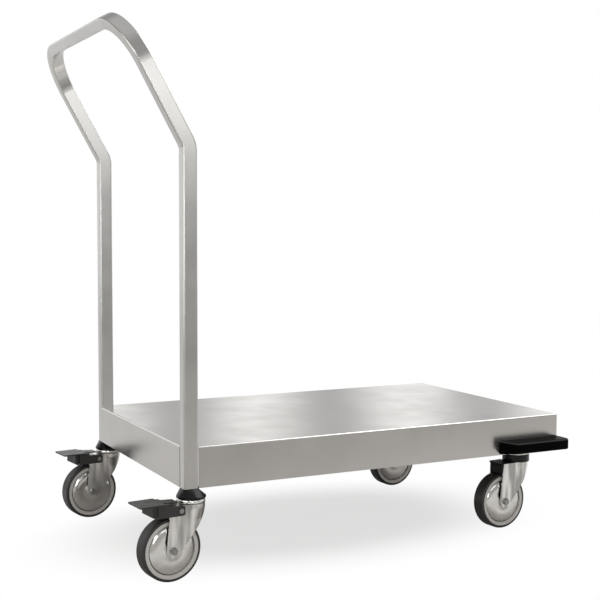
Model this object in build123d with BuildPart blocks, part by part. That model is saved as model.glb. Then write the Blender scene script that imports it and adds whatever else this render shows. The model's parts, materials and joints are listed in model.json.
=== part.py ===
"""Low platform push cart: folded sheet deck, bent square-tube push handle, two corner bumpers,
and four swivel casters, the rear two with a foot brake.

Millimetres. X runs along the deck in the pushing direction, Y across it and Z up from the floor.
The origin is the middle of the whole cart's bounding box, on the floor.
"""
import os
from math import cos, radians, sin, tan

from build123d import *

os.makedirs("parts", exist_ok=True)

# Deck
DECK_LENGTH = 935.0
DECK_WIDTH = 580.0
DECK_DEPTH = 84.0            # height of the folded skirts
DECK_BASE = 180.0            # floor to the lower edge of the skirts
SHEET = 1.5
FOLD_RADIUS = 3.0
LIP = 14.0                   # lip returned inward along the lower edge of the skirts

# Handle tube
TUBE_ALONG = 31.0            # side of the section that lies along the deck
TUBE_ACROSS = 25.0
TUBE_WALL = 1.5
TUBE_CORNER = 4.0
BEND_HEIGHT = 859.0          # where the posts' centre line turns back
LEAN = 29.0                  # degrees from upright
LEAN_LENGTH = 278.0          # from that turn to the cross bar's centre line
POST_BEND = 40.0             # centre-line radii
TOP_BEND = 99.0

# Stiffening under the deck
CHANNEL_SHEET = 2.0
CHANNEL_WIDTH = 72.0
STIFFENER_WIDTH = 60.0
STIFFENER_DEPTH = 30.0
STIFFENER_FLANGE = 16.0
STIFFENER_PLACES = (150.0, 390.0, 630.0)   # from the deck's rear edge

# Bumpers
BUMPER_LENGTH = 167.0
BUMPER_REACH = 48.0
BUMPER_RAKE = 16.0           # the rear end slants forward by this much
BUMPER_TOP = 213.0
BUMPER_FOOT = 182.0
BUMPER_LIFT = 7.0            # the underside rises towards the outer face
BUMPER_CORNER = 12.0
BUMPER_EDGE = 4.0
BUMPER_BOLT = 3.0            # radius
BUMPER_BOLT_SPACING = 100.0
BUMPER_BOLT_RISE = 1.0       # above the middle of the bumper's height
BUMPER_BOLT_GRIP = 24.0      # length inside the bumper
BUMPER_BOLT_SPARE = 2.0      # hole beyond the bolt's end
BUMPER_BOLT_HEAD = 5.0       # centre to flat
BUMPER_BOLT_HEAD_HEIGHT = 4.0
WASHER_RADIUS = 9.0
WASHER_SHEET = 1.6

# Casters, in their own frame: swivel axis at the origin, wheel trailing towards -X
FRONT_CASTER_INSET = 82.0    # swivel axis to the deck's front edge
REAR_CASTER_LEAD = 4.0       # swivel axis ahead of the posts' centre line
FRONT_CASTER_SIDE = 49.0     # swivel axis to the deck's side
SWIVEL_ANGLES = {"rear_right": 6.0, "rear_left": 7.0, "front_right": 4.0, "front_left": 4.0}
WHEEL_RADIUS = 64.0
TREAD = 32.0
TREAD_SHOULDER = 4.0
TRAIL = 50.0                 # swivel axis to wheel axle
FORK_TOP = 152.0
FORK_GAP = 42.0
FORK_SHEET = 2.5
FORK_BACK = -56.0            # rear edge of the cheeks at the crown
FORK_NOSE = 141.0            # lower edge of the bend at the front
FORK_KNEE_X = 6.0            # corners of the sloping front edge, going down
FORK_KNEE_Z = 109.0
FORK_SHIN_X = -14.0
FORK_SHIN_Z = 84.0
FORK_BOSS = 15.0             # radius of the cheek round the axle
BELL_RADIUS = 28.0           # front of the crown, pressed out like a bell
BELL_SHOULDER = 144.0
BELL_FOOT = 121.0            # where the bell meets the cheeks
BELL_BACK = -12.0
HEAD_RADIUS = 25.0
HEAD_TOP = 162.0
HEAD_ROUND = 3.0
HEAD_EDGE = 1.5
STEM_RADIUS = 5.0
STEM_HEAD = 7.5
STEM_HEX = 8.5               # centre to flat, head and nut
STEM_NUT = 9.0
STEM_SPARE = 5.0             # thread beyond the nut
AXLE_RADIUS = 4.0
AXLE_HEX = 6.5               # centre to flat, head and nut
AXLE_HEAD = 5.3
AXLE_NUT = 6.5
AXLE_SPARE = 9.0             # bolt's end beyond the cheek, on the nut's side
CAP_RADIUS = 30.0
CAP_LIP = 3.0
CAP_PROUD = 0.5              # round the foot of the post
PLUG_LENGTH = 12.0
EXPANDER_LENGTH = 38.0
DUST_CAP_RADIUS = 31.5
DUST_CAP_TOP = 170.0
DUST_CAP_ROUND = 3.0
BALL_RADIUS = 3.0
BALL_CIRCLE = 17.0
BALL_COUNT = 14
BALL_RISE = 1.7              # ball centres above the fork's crown

# Rim and thread guards, radii from the axle
TYRE_SEAT = 55.0
RIM_FLANGE = 58.0
RIM_INNER = 50.5
GUARD_RADIUS = 48.5
HUB_RADIUS = 14.0
BUSH_RADIUS = 9.0
SLEEVE_RADIUS = 6.5
RIM_DRAFT = 2.0              # slope of the web's shoulders

# Half widths of the wheel, from its middle plane
TYRE_SEAT_HALF = 12.0
WEB_HALF = 3.0
RIM_INSET = 0.5              # rim inside the tyre's side
GUARD_SHEET = 1.2
GUARD_DISH = ((13.0, 0.0), (14.6, 1.5), (16.8, 14.5), (18.0, 24.5))   # half width, in from the edge
GUARD_COLLAR = 18.4
GUARD_BORE = 0.6             # radial, round the hub

# Brake pedal, in the caster's frame
PIN_X = -35.0
PIN_Z = 143.0
PIN_RADIUS = 3.0
RIVET_RADIUS = 5.0
RIVET_HEAD = 2.0
PEDAL_SHEET = 3.0
PEDAL_ROUND = 3.0
TREAD_BACK = -124.0
TREAD_FRONT = -70.0
TREAD_WIDTH = 60.0
TREAD_TOP = 161.0
NECK_HALF = 14.0
NECK_FOOT = 156.5
BODY_BACK = -85.0
BODY_FRONT = -60.0
BODY_SHOULDER = 136.0
EAR_BACK = -65.0
EAR_FRONT = -26.0
EAR_FOOT = 133.0
EAR_TOP = 153.0
EAR_CORNER = 3.0
SHOE_LENGTH = 18.0
SHOE_FOOT = 117.0
PAD_X = -90.5
PAD_LENGTH = 10.0
PAD_INSET = 2.5              # in from the tread's ends
PAD_DEPTH = 22.0
PRESS_ANGLE = 9.0            # travel from released to braking

# Guard block of the front forks
BLOCK_BACK = -61.0
BLOCK_LENGTH = 28.0
BLOCK_FOOT = 120.0
BLOCK_EDGE = 2.0
BLOCK_TYRE_GAP = 2.5

# Clearances
TURNING_GAP = 0.3            # between faces that move past each other
CROSS_GAP = 0.2              # cross members to the deck's folds
RUNNING_FIT = 0.06           # radial, shaft in hole
SLIP = 0.1                   # radial, still parts

# The whole cart is centred on the origin along X
lean = radians(LEAN)
corner_reach = ((TUBE_ALONG / 2 - TUBE_CORNER) * cos(lean)
                + (TUBE_ACROSS / 2 - TUBE_CORNER) * sin(lean) + TUBE_CORNER)
overhang = LEAN_LENGTH * sin(lean) - TUBE_ALONG / 2 + corner_reach
rear_x = (overhang - DECK_LENGTH) / 2
front_x = rear_x + DECK_LENGTH
side_y = DECK_WIDTH / 2
deck_top = DECK_BASE + DECK_DEPTH
post_x = rear_x + TUBE_ALONG / 2
post_y = side_y - TUBE_ACROSS / 2
rear_caster_x = post_x + REAR_CASTER_LEAD
front_caster_x = front_x - FRONT_CASTER_INSET
front_caster_y = side_y - FRONT_CASTER_SIDE

CASTERS = {
    "rear_right": (rear_caster_x, -post_y),
    "rear_left": (rear_caster_x, post_y),
    "front_right": (front_caster_x, -front_caster_y),
    "front_left": (front_caster_x, front_caster_y),
}
rear_axes = [CASTERS["rear_right"], CASTERS["rear_left"]]
front_axes = [CASTERS["front_right"], CASTERS["front_left"]]


def save(piece, name, place=Location()):
    """Move one piece to its place, label it and write its file."""
    placed = piece.moved(place)
    placed.label = name
    export_step(placed, f"parts/{name}.step")


def arc_points(before, corner, after, radius):
    """Start, middle and end of the arc that rounds one corner of a centre line."""
    to_before = (before - corner).normalized()
    to_after = (after - corner).normalized()
    half_angle = radians(to_before.get_angle(to_after)) / 2
    cut = radius / tan(half_angle)
    bisector = (to_before + to_after).normalized()
    nearest = radius / sin(half_angle) - radius
    return corner + to_before * cut, corner + bisector * nearest, corner + to_after * cut


# ---------------------------------------------------------------- frame

# Handle: one tube swept along its centre line, from foot to foot
bore_along = TUBE_ALONG - 2 * TUBE_WALL
bore_across = TUBE_ACROSS - 2 * TUBE_WALL
top_x = post_x - LEAN_LENGTH * sin(lean)
top_z = BEND_HEIGHT + LEAN_LENGTH * cos(lean)
centre_line = [
    Vector(post_x, -post_y, DECK_BASE),
    Vector(post_x, -post_y, BEND_HEIGHT),
    Vector(top_x, -post_y, top_z),
    Vector(top_x, post_y, top_z),
    Vector(post_x, post_y, BEND_HEIGHT),
    Vector(post_x, post_y, DECK_BASE),
]
bends = [
    arc_points(centre_line[i - 1], centre_line[i], centre_line[i + 1], radius)
    for i, radius in zip((1, 2, 3, 4), (POST_BEND, TOP_BEND, TOP_BEND, POST_BEND))
]

with BuildPart() as handle:
    with BuildLine():
        reached = centre_line[0]
        for start, middle, end in bends:
            Line(reached, start)
            ThreePointArc(start, middle, end)
            reached = end
        Line(reached, centre_line[-1])
    with BuildSketch(Plane.XY.offset(DECK_BASE)):
        with Locations((post_x, -post_y)):
            RectangleRounded(TUBE_ALONG, TUBE_ACROSS, TUBE_CORNER)
            RectangleRounded(bore_along, bore_across, TUBE_CORNER - TUBE_WALL,
                             mode=Mode.SUBTRACT)
    sweep()
save(handle.part, "handle_tube")

# Deck: a tray open below, with a lip, notched round the posts
deck_mid_x = (rear_x + front_x) / 2
bolt_z = (BUMPER_FOOT + BUMPER_TOP) / 2 + BUMPER_BOLT_RISE
bumper_x = front_x - BUMPER_LENGTH / 2
bumper_bolts_x = [bumper_x - BUMPER_BOLT_SPACING / 2, bumper_x + BUMPER_BOLT_SPACING / 2]
bolt_plane = Plane(origin=(0, 0, bolt_z), x_dir=(1, 0, 0), z_dir=(0, -1, 0))

with BuildPart() as deck:
    with BuildSketch(Plane.XY.offset(DECK_BASE)):
        with Locations((deck_mid_x, 0)):
            Rectangle(DECK_LENGTH, DECK_WIDTH)
    extrude(amount=DECK_DEPTH)
    fillet(deck.edges().filter_by(Axis.Z), radius=FOLD_RADIUS)
    fillet(deck.edges().group_by(Axis.Z)[-1], radius=FOLD_RADIUS)
    offset(amount=-SHEET, openings=deck.faces().sort_by(Axis.Z)[0])
    with BuildSketch(Plane.XY.offset(DECK_BASE)):
        with Locations((deck_mid_x, 0)):
            Rectangle(DECK_LENGTH - SHEET, DECK_WIDTH - SHEET)
            Rectangle(DECK_LENGTH - 2 * LIP, DECK_WIDTH - 2 * LIP, mode=Mode.SUBTRACT)
    extrude(amount=SHEET)
    with BuildSketch(Plane.XY.offset(DECK_BASE)):
        with Locations((post_x, post_y), (post_x, -post_y)):
            Rectangle(TUBE_ALONG, TUBE_ACROSS)
    extrude(amount=DECK_DEPTH, mode=Mode.SUBTRACT)
    with BuildSketch(bolt_plane):
        with Locations(*[(x, 0) for x in bumper_bolts_x]):
            Circle(BUMPER_BOLT + SLIP)
    extrude(amount=side_y, both=True, mode=Mode.SUBTRACT)
save(deck.part, "deck_sheet")


def hat_profile(width, top, foot, sheet, flange):
    """Outline of a hat channel hung from z = top, seen along Y, centred on x = 0."""
    half = width / 2
    with BuildLine() as line:
        Polyline((-half - flange, top), (-half, top), (-half, foot + sheet), (half, foot + sheet),
                 (half, top), (half + flange, top), (half + flange, top - sheet),
                 (half + sheet, top - sheet), (half + sheet, foot), (-half - sheet, foot),
                 (-half - sheet, top - sheet), (-half - flange, top - sheet), close=True)
    return line.line


sheet_underside = deck_top - SHEET
lip_top = DECK_BASE + SHEET
cross_length = DECK_WIDTH - 2 * FOLD_RADIUS - 2 * CROSS_GAP
channel_plane = Plane(origin=(front_caster_x, cross_length / 2, 0), x_dir=(1, 0, 0),
                      z_dir=(0, -1, 0))
channel_line = hat_profile(CHANNEL_WIDTH, sheet_underside, lip_top, CHANNEL_SHEET, STIFFENER_FLANGE)

with BuildPart() as channel:
    with BuildSketch(channel_plane):
        make_face(channel_line)
    extrude(amount=cross_length)
    with Locations(*[(x, y, lip_top) for x, y in front_axes]):
        Cylinder(STEM_RADIUS + SLIP, CHANNEL_SHEET, mode=Mode.SUBTRACT,
                 align=(Align.CENTER, Align.CENTER, Align.MIN))
save(channel.part, "front_channel")

stiffener_line = hat_profile(STIFFENER_WIDTH, sheet_underside, sheet_underside - STIFFENER_DEPTH,
                             SHEET, STIFFENER_FLANGE)

with BuildPart() as stiffeners:
    for place in STIFFENER_PLACES:
        with BuildSketch(Plane(origin=(rear_x + place, cross_length / 2, 0), x_dir=(1, 0, 0),
                               z_dir=(0, -1, 0))):
            make_face(stiffener_line)
        extrude(amount=cross_length)
save(stiffeners.part, "deck_stiffeners")

# Bumper, built on the right (-Y) side and mirrored
with BuildPart() as bumper:
    with BuildSketch(Plane(origin=(front_x, 0, 0), x_dir=(0, 1, 0), z_dir=(1, 0, 0))):
        with BuildLine():
            Polyline((-side_y, BUMPER_FOOT), (-side_y, BUMPER_TOP),
                     (-side_y - BUMPER_REACH, BUMPER_TOP),
                     (-side_y - BUMPER_REACH, BUMPER_FOOT + BUMPER_LIFT), close=True)
        make_face()
    extrude(amount=-BUMPER_LENGTH)
    with BuildSketch(Plane.XY.offset(BUMPER_FOOT)):
        with BuildLine():
            Polyline((front_x, -side_y), (front_x - BUMPER_LENGTH, -side_y),
                     (front_x - BUMPER_LENGTH + BUMPER_RAKE, -side_y - BUMPER_REACH),
                     (front_x, -side_y - BUMPER_REACH), close=True)
        make_face()
    extrude(amount=BUMPER_TOP - BUMPER_FOOT, mode=Mode.INTERSECT)
    outer = bumper.edges().filter_by(Axis.Z).group_by(Axis.Y)[0]
    fillet(outer, radius=BUMPER_CORNER)
    inner_face = bumper.faces().sort_by(Axis.Y)[-1]
    fillet(bumper.edges() - inner_face.edges() - bumper.edges().filter_by(Axis.Z),
           radius=BUMPER_EDGE)
    with BuildSketch(bolt_plane.offset(side_y)):
        with Locations(*[(x, 0) for x in bumper_bolts_x]):
            Circle(BUMPER_BOLT + RUNNING_FIT)
    extrude(amount=BUMPER_BOLT_GRIP + BUMPER_BOLT_SPARE, mode=Mode.SUBTRACT)
save(bumper.part, "bumper_right")
save(mirror(bumper.part, about=Plane.XZ), "bumper_left")

# Bumper bolts, heads and washers inside the skirts
with BuildPart() as bumper_bolts:
    for side in (1, -1):
        for x in bumper_bolts_x:
            seat = Plane(origin=(x, side * (side_y - SHEET), bolt_z), x_dir=(1, 0, 0),
                         z_dir=(0, -side, 0))
            with BuildSketch(seat):
                Circle(WASHER_RADIUS)
            extrude(amount=WASHER_SHEET)
            with BuildSketch(seat.offset(WASHER_SHEET)):
                RegularPolygon(BUMPER_BOLT_HEAD, 6, major_radius=False)
            extrude(amount=BUMPER_BOLT_HEAD_HEIGHT)
            with BuildSketch(seat.offset(-SHEET - BUMPER_BOLT_GRIP)):
                Circle(BUMPER_BOLT)
            extrude(amount=SHEET + BUMPER_BOLT_GRIP + WASHER_SHEET / 2)
save(bumper_bolts.part, "bumper_bolts")

# ---------------------------------------------------------------- caster heads

HEAD_FOOT = FORK_TOP + TURNING_GAP
race_z = FORK_TOP + BALL_RISE
plug_top = DECK_BASE + PLUG_LENGTH

with BuildPart() as head_ring:
    with Locations((0, 0, HEAD_FOOT)):
        Cylinder(HEAD_RADIUS, HEAD_TOP - HEAD_FOOT, align=(Align.CENTER, Align.CENTER, Align.MIN))
    fillet(head_ring.edges().group_by(Axis.Z)[-1], radius=HEAD_ROUND)
    fillet(head_ring.edges().group_by(Axis.Z)[0], radius=HEAD_EDGE)
    with Locations((0, 0, HEAD_FOOT)):
        Cylinder(STEM_RADIUS + SLIP, 2 * HEAD_RADIUS, mode=Mode.SUBTRACT)
    with Locations((0, 0, race_z)):
        Torus(BALL_CIRCLE, BALL_RADIUS + RUNNING_FIT, mode=Mode.SUBTRACT)

# Rear cap, about the swivel axis: as the post's section where it meets it, round below, with a
# plug inside the tube
with BuildPart() as rear_cap:
    with BuildSketch(Plane.XY.offset(HEAD_TOP)):
        Circle(CAP_RADIUS)
    extrude(amount=CAP_LIP)
    with BuildSketch(Plane.XY.offset(HEAD_TOP + CAP_LIP)):
        Circle(CAP_RADIUS)
    with BuildSketch(Plane.XY.offset(DECK_BASE)):
        with Locations((-REAR_CASTER_LEAD, 0)):
            RectangleRounded(TUBE_ALONG + 2 * CAP_PROUD, TUBE_ACROSS + 2 * CAP_PROUD,
                             TUBE_CORNER + CAP_PROUD)
    loft()
    with BuildSketch(Plane.XY.offset(DECK_BASE)):
        with Locations((-REAR_CASTER_LEAD, 0)):
            RectangleRounded(bore_along - 2 * SLIP, bore_across - 2 * SLIP, TUBE_CORNER - TUBE_WALL)
    extrude(amount=PLUG_LENGTH)
    with Locations((0, 0, HEAD_TOP)):
        Cylinder(STEM_RADIUS + SLIP, plug_top - HEAD_TOP, mode=Mode.SUBTRACT,
                 align=(Align.CENTER, Align.CENTER, Align.MIN))

# Front dust cap: a cup round the head ring
with BuildPart() as front_cap:
    with Locations((0, 0, HEAD_FOOT + TURNING_GAP)):
        Cylinder(DUST_CAP_RADIUS, DUST_CAP_TOP - HEAD_FOOT - TURNING_GAP,
                 align=(Align.CENTER, Align.CENTER, Align.MIN))
    fillet(front_cap.edges().group_by(Axis.Z)[-1], radius=DUST_CAP_ROUND)
    with Locations((0, 0, HEAD_TOP)):
        Cylinder(HEAD_RADIUS + SLIP, HEAD_TOP - HEAD_FOOT, mode=Mode.SUBTRACT,
                 align=(Align.CENTER, Align.CENTER, Align.MAX))
        Cylinder(STEM_RADIUS + SLIP, 2 * HEAD_RADIUS, mode=Mode.SUBTRACT)

# Stems: hex head under the fork's crown, nut at the far end
crown_underside = FORK_TOP - FORK_SHEET


def stem(positions, nut_seat):
    """Stem bolts with their nuts, the nut resting on nut_seat."""
    head_top = crown_underside - TURNING_GAP
    stem_top = nut_seat + STEM_NUT + STEM_SPARE
    with BuildPart() as stems:
        with BuildSketch(Plane.XY.offset(head_top - STEM_HEAD)):
            with Locations(*positions):
                RegularPolygon(STEM_HEX, 6, major_radius=False)
        extrude(amount=STEM_HEAD)
        with BuildSketch(Plane.XY.offset(head_top)):
            with Locations(*positions):
                Circle(STEM_RADIUS)
        extrude(amount=stem_top - head_top)
        with BuildSketch(Plane.XY.offset(nut_seat)):
            with Locations(*positions):
                RegularPolygon(STEM_HEX, 6, major_radius=False)
        extrude(amount=STEM_NUT)
    return stems.part


save(stem(rear_axes, plug_top + EXPANDER_LENGTH), "rear_stems")
save(stem(front_axes, lip_top + CHANNEL_SHEET), "front_stems")

with BuildPart() as expanders:
    with BuildSketch(Plane.XY.offset(plug_top)):
        with Locations((post_x, -post_y), (post_x, post_y)):
            RectangleRounded(bore_along, bore_across, TUBE_CORNER - TUBE_WALL)
        with Locations(*rear_axes):
            Circle(STEM_RADIUS + SLIP, mode=Mode.SUBTRACT)
    extrude(amount=EXPANDER_LENGTH)
save(expanders.part, "rear_expanders")

with BuildPart() as front_pads:
    with BuildSketch(Plane.XY.offset(DUST_CAP_TOP)):
        with Locations(*front_axes):
            Circle(DUST_CAP_RADIUS)
            Circle(STEM_RADIUS + SLIP, mode=Mode.SUBTRACT)
    extrude(amount=lip_top - DUST_CAP_TOP)
save(front_pads.part, "front_pads")

# ---------------------------------------------------------------- swivel

outer_half = FORK_GAP / 2 + FORK_SHEET
axle_z = WHEEL_RADIUS



def bell(foot, mouth):
    """Front part of a solid bell: radius foot where it meets the cheeks, mouth at the crown."""
    with BuildPart() as front:
        with BuildSketch(Plane.XZ):
            with BuildLine():
                Polyline((0, BELL_FOOT), (foot, BELL_FOOT), (mouth, BELL_SHOULDER),
                         (mouth, FORK_TOP), (0, FORK_TOP), close=True)
            make_face()
        revolve(axis=Axis.Z)
        with Locations((BELL_BACK, 0, BELL_FOOT)):
            Box(2 * mouth, 2 * mouth, 2 * mouth, mode=Mode.INTERSECT,
                align=(Align.MIN, Align.CENTER, Align.MIN))
    return front


bell_shape = bell(outer_half, BELL_RADIUS)
bell_hollow = bell(FORK_GAP / 2, BELL_RADIUS - FORK_SHEET)

# Fork: a plate bent round the front of the crown, cut to a tapering side view
with BuildPart() as fork:
    with BuildSketch():
        Circle(outer_half)
        with Locations((FORK_BACK - FORK_BOSS, 0)):
            Rectangle(-FORK_BACK + FORK_BOSS, 2 * outer_half, align=(Align.MIN, Align.CENTER))
        Circle(FORK_GAP / 2, mode=Mode.SUBTRACT)
        with Locations((FORK_BACK - FORK_BOSS, 0)):
            Rectangle(-FORK_BACK + FORK_BOSS, FORK_GAP, align=(Align.MIN, Align.CENTER),
                      mode=Mode.SUBTRACT)
    extrude(amount=FORK_TOP)
    add(bell_shape.part)
    add(bell_hollow.part, mode=Mode.SUBTRACT)
    with BuildSketch(Plane.XY.offset(crown_underside)):
        Circle(BELL_RADIUS)
        with Locations((FORK_BACK - FORK_BOSS, 0)):
            Rectangle(-FORK_BACK + FORK_BOSS, 2 * outer_half, align=(Align.MIN, Align.CENTER))
    extrude(amount=FORK_SHEET)
    with BuildSketch(Plane.XZ):
        with BuildLine():
            Polyline((FORK_BACK, FORK_TOP), (BELL_RADIUS + 1, FORK_TOP),
                     (BELL_RADIUS + 1, FORK_NOSE), (FORK_KNEE_X, FORK_KNEE_Z),
                     (FORK_SHIN_X, FORK_SHIN_Z),
                     (-TRAIL + FORK_BOSS * 0.74, axle_z - FORK_BOSS * 0.68),
                     (-TRAIL - FORK_BOSS, axle_z), close=True)
        make_face()
        with Locations((-TRAIL, axle_z)):
            Circle(FORK_BOSS)
    extrude(amount=BELL_RADIUS + 1, both=True, mode=Mode.INTERSECT)
    with BuildSketch(Plane.XZ):
        with Locations((-TRAIL, axle_z)):
            Circle(AXLE_RADIUS + SLIP)
    extrude(amount=outer_half + 1, both=True, mode=Mode.SUBTRACT)
    with Locations((0, 0, FORK_TOP)):
        Cylinder(STEM_RADIUS + RUNNING_FIT, 2 * FORK_SHEET + 1, mode=Mode.SUBTRACT)
    with Locations((0, 0, race_z)):
        Torus(BALL_CIRCLE, BALL_RADIUS + RUNNING_FIT, mode=Mode.SUBTRACT)

pin_plane = Plane(origin=(PIN_X, 0, PIN_Z), x_dir=(1, 0, 0), z_dir=(0, -1, 0))
with BuildPart() as rear_fork:
    add(fork.part)
    with BuildSketch(pin_plane):
        Circle(PIN_RADIUS + SLIP)
    extrude(amount=outer_half + 1, both=True, mode=Mode.SUBTRACT)

with BuildPart() as balls:
    with Locations((0, 0, race_z)):
        with PolarLocations(BALL_CIRCLE, BALL_COUNT):
            Sphere(BALL_RADIUS)

# Axle: bolt head on the right-hand cheek, nut on the left-hand one, sleeve between the cheeks
axle_plane = Plane(origin=(-TRAIL, 0, axle_z), x_dir=(1, 0, 0), z_dir=(0, -1, 0))
with BuildPart() as axle:
    with BuildSketch(axle_plane.offset(-outer_half - AXLE_SPARE)):
        Circle(AXLE_RADIUS)
    extrude(amount=2 * outer_half + AXLE_SPARE + AXLE_HEAD / 2)
    with BuildSketch(axle_plane.offset(outer_half)):
        RegularPolygon(AXLE_HEX, 6, major_radius=False)
    extrude(amount=AXLE_HEAD)
    with BuildSketch(axle_plane.offset(-outer_half)):
        RegularPolygon(AXLE_HEX, 6, major_radius=False)
    extrude(amount=-AXLE_NUT)

with BuildPart() as axle_sleeve:
    with BuildSketch(axle_plane):
        Circle(SLEEVE_RADIUS)
        Circle(AXLE_RADIUS + SLIP, mode=Mode.SUBTRACT)
    extrude(amount=FORK_GAP / 2, both=True)

# ---------------------------------------------------------------- wheel

wheel_plane = Plane(origin=(-TRAIL, 0, axle_z), x_dir=(0, 1, 0), z_dir=(1, 0, 0))
wheel_axis = Axis((-TRAIL, 0, axle_z), (0, 1, 0))
hub_half = FORK_GAP / 2 - TURNING_GAP
rim_half = TREAD / 2 - RIM_INSET

with BuildPart() as tyre:
    with BuildSketch(wheel_plane) as tyre_section:
        with BuildLine():
            Polyline((-TYRE_SEAT_HALF, TYRE_SEAT), (TYRE_SEAT_HALF, TYRE_SEAT),
                     (TYRE_SEAT_HALF, RIM_FLANGE), (TREAD / 2, RIM_FLANGE),
                     (TREAD / 2, WHEEL_RADIUS),
                     (-TREAD / 2, WHEEL_RADIUS), (-TREAD / 2, RIM_FLANGE),
                     (-TYRE_SEAT_HALF, RIM_FLANGE), close=True)
        make_face()
        fillet(tyre_section.vertices().group_by(Axis.Y)[-1], radius=TREAD_SHOULDER)
    revolve(axis=wheel_axis)

with BuildPart() as rim:
    with BuildSketch(wheel_plane):
        with BuildLine():
            Polyline((-hub_half, BUSH_RADIUS), (hub_half, BUSH_RADIUS), (hub_half, HUB_RADIUS),
                     (WEB_HALF, HUB_RADIUS + RIM_DRAFT), (WEB_HALF, RIM_INNER - RIM_DRAFT),
                     (rim_half, RIM_INNER), (rim_half, RIM_FLANGE),
                     (TYRE_SEAT_HALF, RIM_FLANGE), (TYRE_SEAT_HALF, TYRE_SEAT),
                     (-TYRE_SEAT_HALF, TYRE_SEAT), (-TYRE_SEAT_HALF, RIM_FLANGE),
                     (-rim_half, RIM_FLANGE), (-rim_half, RIM_INNER),
                     (-WEB_HALF, RIM_INNER - RIM_DRAFT), (-WEB_HALF, HUB_RADIUS + RIM_DRAFT),
                     (-hub_half, HUB_RADIUS), close=True)
        make_face()
    revolve(axis=wheel_axis)

with BuildPart() as bush:
    with BuildSketch(axle_plane):
        Circle(BUSH_RADIUS)
        Circle(SLEEVE_RADIUS + RUNNING_FIT, mode=Mode.SUBTRACT)
    extrude(amount=hub_half, both=True)

# Thread guards: dished discs pressed over the hub, on both sides
dish_outside = [(half, GUARD_RADIUS - inward) for half, inward in GUARD_DISH]
dish_outside.append((GUARD_COLLAR, HUB_RADIUS + GUARD_BORE))
dish_inside = [(half - GUARD_SHEET, radius) for half, radius in reversed(dish_outside)]
with BuildPart() as guards:
    with BuildSketch(wheel_plane):
        with BuildLine():
            Polyline(*dish_outside, *dish_inside, close=True)
        make_face()
    revolve(axis=wheel_axis)
    mirror(about=Plane.XZ)

# ---------------------------------------------------------------- brake and guard

ear_inner = outer_half + TURNING_GAP
ear_outer = ear_inner + PEDAL_SHEET
body_roof = TREAD_TOP - 1 - PEDAL_SHEET

with BuildPart() as pedal:
    # tread
    with BuildSketch(Plane.XY.offset(TREAD_TOP - PEDAL_SHEET)):
        with Locations((TREAD_BACK, 0)):
            Rectangle(TREAD_FRONT - TREAD_BACK, TREAD_WIDTH, align=(Align.MIN, Align.CENTER))
    extrude(amount=PEDAL_SHEET)
    fillet(pedal.edges().filter_by(Axis.Z), radius=PEDAL_ROUND)
    # neck over the back of the crown
    with BuildSketch(Plane.XZ):
        with BuildLine():
            Polyline((TREAD_FRONT - 5, TREAD_TOP), (PIN_X - 1, NECK_FOOT + PEDAL_SHEET - 1),
                     (PIN_X - 1, NECK_FOOT), (BODY_FRONT, NECK_FOOT),
                     (TREAD_FRONT - 5, TREAD_TOP - PEDAL_SHEET), close=True)
        make_face()
    extrude(amount=NECK_HALF, both=True)
    # body behind the fork
    with BuildSketch(Plane.XZ):
        with BuildLine():
            Polyline((BODY_BACK, TREAD_TOP - 1), (BODY_FRONT, TREAD_TOP - 2),
                     (BODY_FRONT, BODY_SHOULDER), (EAR_BACK, EAR_FOOT), (BODY_BACK, EAR_FOOT),
                     close=True)
        make_face()
    extrude(amount=ear_outer, both=True)
    # ears each side of the fork
    with BuildSketch(Plane.XZ):
        with BuildLine():
            Polyline((EAR_BACK, EAR_TOP), (EAR_FRONT - EAR_CORNER, EAR_TOP),
                     (EAR_FRONT, EAR_TOP - EAR_CORNER), (EAR_FRONT, EAR_FOOT + EAR_CORNER),
                     (EAR_FRONT - EAR_CORNER, EAR_FOOT), (EAR_BACK, EAR_FOOT), close=True)
        make_face()
    extrude(amount=ear_outer, both=True)
    # hollow below the folded sheet, with room for the fork between the ears
    with BuildSketch(Plane.XZ):
        with BuildLine():
            Polyline((BODY_BACK + PEDAL_SHEET, 0), (BODY_BACK + PEDAL_SHEET, body_roof),
                     (BODY_FRONT - 4, body_roof), (BODY_FRONT, NECK_FOOT), (0, NECK_FOOT), (0, 0),
                     close=True)
        make_face()
    extrude(amount=ear_inner, both=True, mode=Mode.SUBTRACT)
    with BuildSketch(pin_plane):
        Circle(PIN_RADIUS + RUNNING_FIT)
    extrude(amount=ear_outer + 1, both=True, mode=Mode.SUBTRACT)

# Shoe: its lower face is the tyre's surface as the pedal meets it when pressed
press = radians(PRESS_ANGLE)
to_axle = (-TRAIL - PIN_X, axle_z - PIN_Z)
pressed_x = PIN_X + to_axle[0] * cos(press) + to_axle[1] * sin(press)
pressed_z = PIN_Z - to_axle[0] * sin(press) + to_axle[1] * cos(press)
with BuildPart() as shoe:
    with BuildSketch(Plane.XY.offset(body_roof)):
        with Locations((BODY_BACK + PEDAL_SHEET, 0)):
            Rectangle(SHOE_LENGTH, TREAD - 4, align=(Align.MIN, Align.CENTER))
    extrude(amount=SHOE_FOOT - body_roof)
    with BuildSketch(Plane.XZ):
        with Locations((pressed_x, pressed_z)):
            Circle(WHEEL_RADIUS + TURNING_GAP)
    extrude(amount=TREAD, both=True, mode=Mode.SUBTRACT)

# Pad under the tread
with BuildPart() as pad:
    with BuildSketch(Plane.XY.offset(TREAD_TOP - PEDAL_SHEET)):
        with Locations((PAD_X, 0)):
            RectangleRounded(PAD_LENGTH, TREAD_WIDTH - 2 * PAD_INSET, PEDAL_ROUND)
    extrude(amount=-PAD_DEPTH)

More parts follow.
